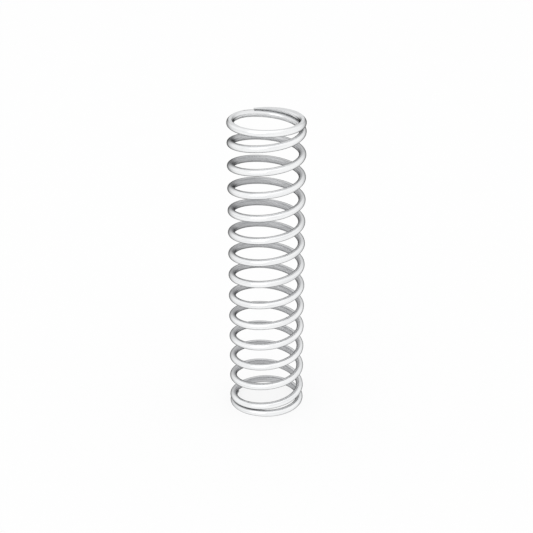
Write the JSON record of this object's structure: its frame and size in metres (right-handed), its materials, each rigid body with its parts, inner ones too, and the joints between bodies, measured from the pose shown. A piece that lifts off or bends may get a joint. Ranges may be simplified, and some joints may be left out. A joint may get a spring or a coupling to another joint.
{
  "type": "compression spring",
  "caption": "Helical compression spring of round steel wire, right-hand wound, with open coils of even pitch and closed, ground ends.",
  "frame": {"origin": "centre of the lower ground end, on the plane that the spring stands on", "axes": "+Z along the coil's axis, up; the view of the picture looks along +Y with +X to the right"},
  "size_m": [0.012, 0.012, 0.0485],
  "materials": {
    "spring_wire": "bright, smooth drawn spring steel wire, almost white, with finely ground flats on both ends"
  },
  "bodies": {
    "root": {"coil_spring": "spring_wire"}
  },
  "joints": []
}
